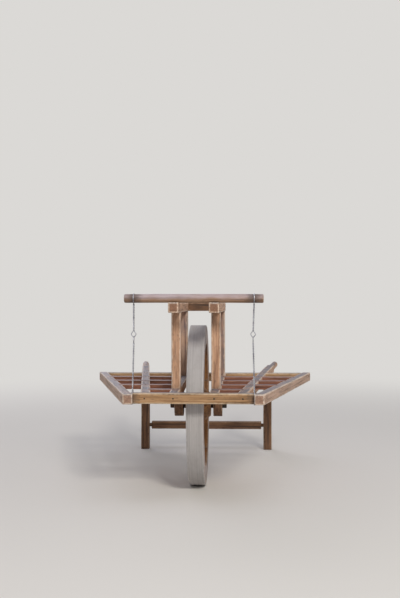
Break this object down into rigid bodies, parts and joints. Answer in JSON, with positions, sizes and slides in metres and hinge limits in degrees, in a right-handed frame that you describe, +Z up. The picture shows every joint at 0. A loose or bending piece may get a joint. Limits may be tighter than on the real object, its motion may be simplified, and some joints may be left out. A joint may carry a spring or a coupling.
{
  "type": "wooden wheelbarrow cart model",
  "caption": "Wooden model hand barrow with a slatted deck on splayed rails, a guard over its central spoked wheel, a wire-stayed front pole, standing legs and turned handles.",
  "frame": {"origin": "on the floor, under the middle of the overall box", "axes": "+X across to the right as seen from the front, +Y from the front bar back to the handles, +Z up"},
  "size_m": [0.1676, 0.3062, 0.1296],
  "materials": {
    "frame_wood": "stained and rubbed, matte",
    "dark_wood": "dark stained, matte",
    "pole_wood": "bare dowel, matte",
    "wheel_wood": "stained, matte",
    "tread_wood": "grey weathered hoop, matte",
    "stay_wire": "galvanised wire",
    "axle_steel": "dull steel rod"
  },
  "bodies": {
    "frame": {"front_cross_bar": "frame_wood", "rear_cross_bar": "frame_wood", "upper_tie_bar": "frame_wood", "top_pole": "pole_wood", "leg_stretcher": "dark_wood", "axle": "axle_steel", "inner_rail_right": "frame_wood", "inner_rail_left": "frame_wood", "outer_rail_right": "frame_wood", "outer_rail_left": "frame_wood", "shaft_right": "frame_wood", "shaft_left": "frame_wood", "leg_right": "dark_wood", "leg_left": "dark_wood", "axle_hanger_right": "dark_wood", "axle_hanger_left": "dark_wood", "front_post_right": "frame_wood", "front_post_left": "frame_wood", "rear_post_right": "frame_wood", "rear_post_left": "frame_wood", "upper_rail_right": "frame_wood", "upper_rail_left": "frame_wood", "stay_upper_right": "stay_wire", "stay_upper_left": "stay_wire", "stay_lower_right": "stay_wire", "stay_lower_left": "stay_wire", "slat_1_right": "dark_wood", "slat_1_left": "dark_wood", "slat_2_right": "dark_wood", "slat_2_left": "dark_wood", "slat_3_right": "dark_wood", "slat_3_left": "dark_wood", "slat_4_right": "dark_wood", "slat_4_left": "dark_wood"},
    "wheel": {"hub": "wheel_wood", "spokes": "wheel_wood", "felloes": "wheel_wood", "tread_band": "tread_wood"}
  },
  "joints": [
    {"name": "wheel_spin", "type": "hinge", "parent": "frame", "child": "wheel", "pos_m": [0, -0.082, 0.054], "axis": [1, 0, 0], "continuous": true}
  ]
}
